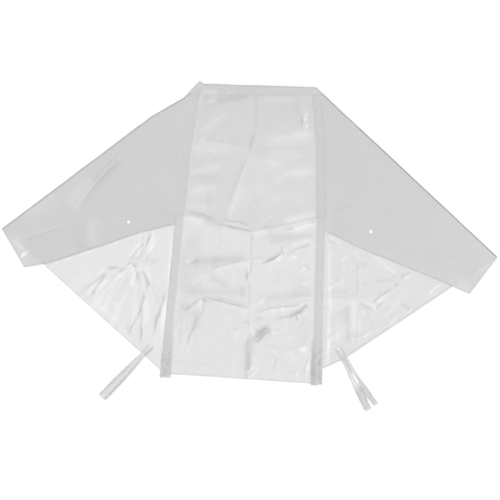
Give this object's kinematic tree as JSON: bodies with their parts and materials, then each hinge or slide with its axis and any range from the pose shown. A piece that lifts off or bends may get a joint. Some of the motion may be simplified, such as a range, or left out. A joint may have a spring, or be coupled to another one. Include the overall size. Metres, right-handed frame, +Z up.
{
  "type": "disposable barber cape",
  "caption": "Translucent polythene salon cape laid flat: a folded, pleated film sheet with a neck slit, folding wings and film ties looped through punched holes.",
  "frame": {"origin": "middle of the whole laid-out outline, on the surface that the cape lies on", "axes": "+Y from the bottom hem towards the neck edge, +X across the span, from the left wing to the right wing as seen from above with the neck edge at the top, +Z up from the surface"},
  "size_m": [1.4748, 0.983, 0.0083],
  "materials": {
    "film_single": "translucent polythene film, softly glossy and creased",
    "film_double": "translucent polythene film lying over a second layer",
    "film_pleat": "pleated polythene film, three layers thick",
    "film_hem": "turned and sealed edge of polythene film",
    "film_fold": "folded edge of polythene film",
    "film_tie": "gathered strip of polythene film"
  },
  "bodies": {
    "cape": {"front_centre_panel": "film_single", "back_centre_panel": "film_double", "front_neck_hem": "film_hem", "back_neck_hem": "film_hem", "bottom_hem": "film_hem", "left_front_pleat": "film_pleat", "left_back_pleat": "film_pleat", "right_front_pleat": "film_pleat", "right_back_pleat": "film_pleat", "left_front_side_panel": "film_single", "left_back_side_panel": "film_double", "left_shoulder_fold": "film_fold", "right_front_side_panel": "film_single", "right_back_side_panel": "film_double", "right_shoulder_fold": "film_fold"},
    "left_wing": {"left_front_wing_panel": "film_single", "left_back_wing_panel": "film_double", "left_wing_fold": "film_fold"},
    "right_wing": {"right_front_wing_panel": "film_single", "right_back_wing_panel": "film_double", "right_wing_fold": "film_fold"},
    "left_tie": {"left_tie": "film_tie"},
    "right_tie": {"right_tie": "film_tie"}
  },
  "joints": [
    {"name": "left_wing_crease", "type": "hinge", "parent": "cape", "child": "left_wing", "pos_m": [-0.325, 0, 0.0057], "axis": [0, 1, 0], "range_deg": [0, 180]},
    {"name": "right_wing_crease", "type": "hinge", "parent": "cape", "child": "right_wing", "pos_m": [0.325, 0, 0.0071], "axis": [0, -1, 0], "range_deg": [0, 180]},
    {"name": "left_tie_swing", "type": "hinge", "parent": "cape", "child": "left_tie", "pos_m": [-0.2944, -0.3001, 0.0013], "axis": [0, 0, 1], "range_deg": [-45, 30]},
    {"name": "right_tie_swing", "type": "hinge", "parent": "cape", "child": "right_tie", "pos_m": [0.2646, -0.306, 0.0013], "axis": [0, 0, 1], "range_deg": [-30, 45]}
  ]
}
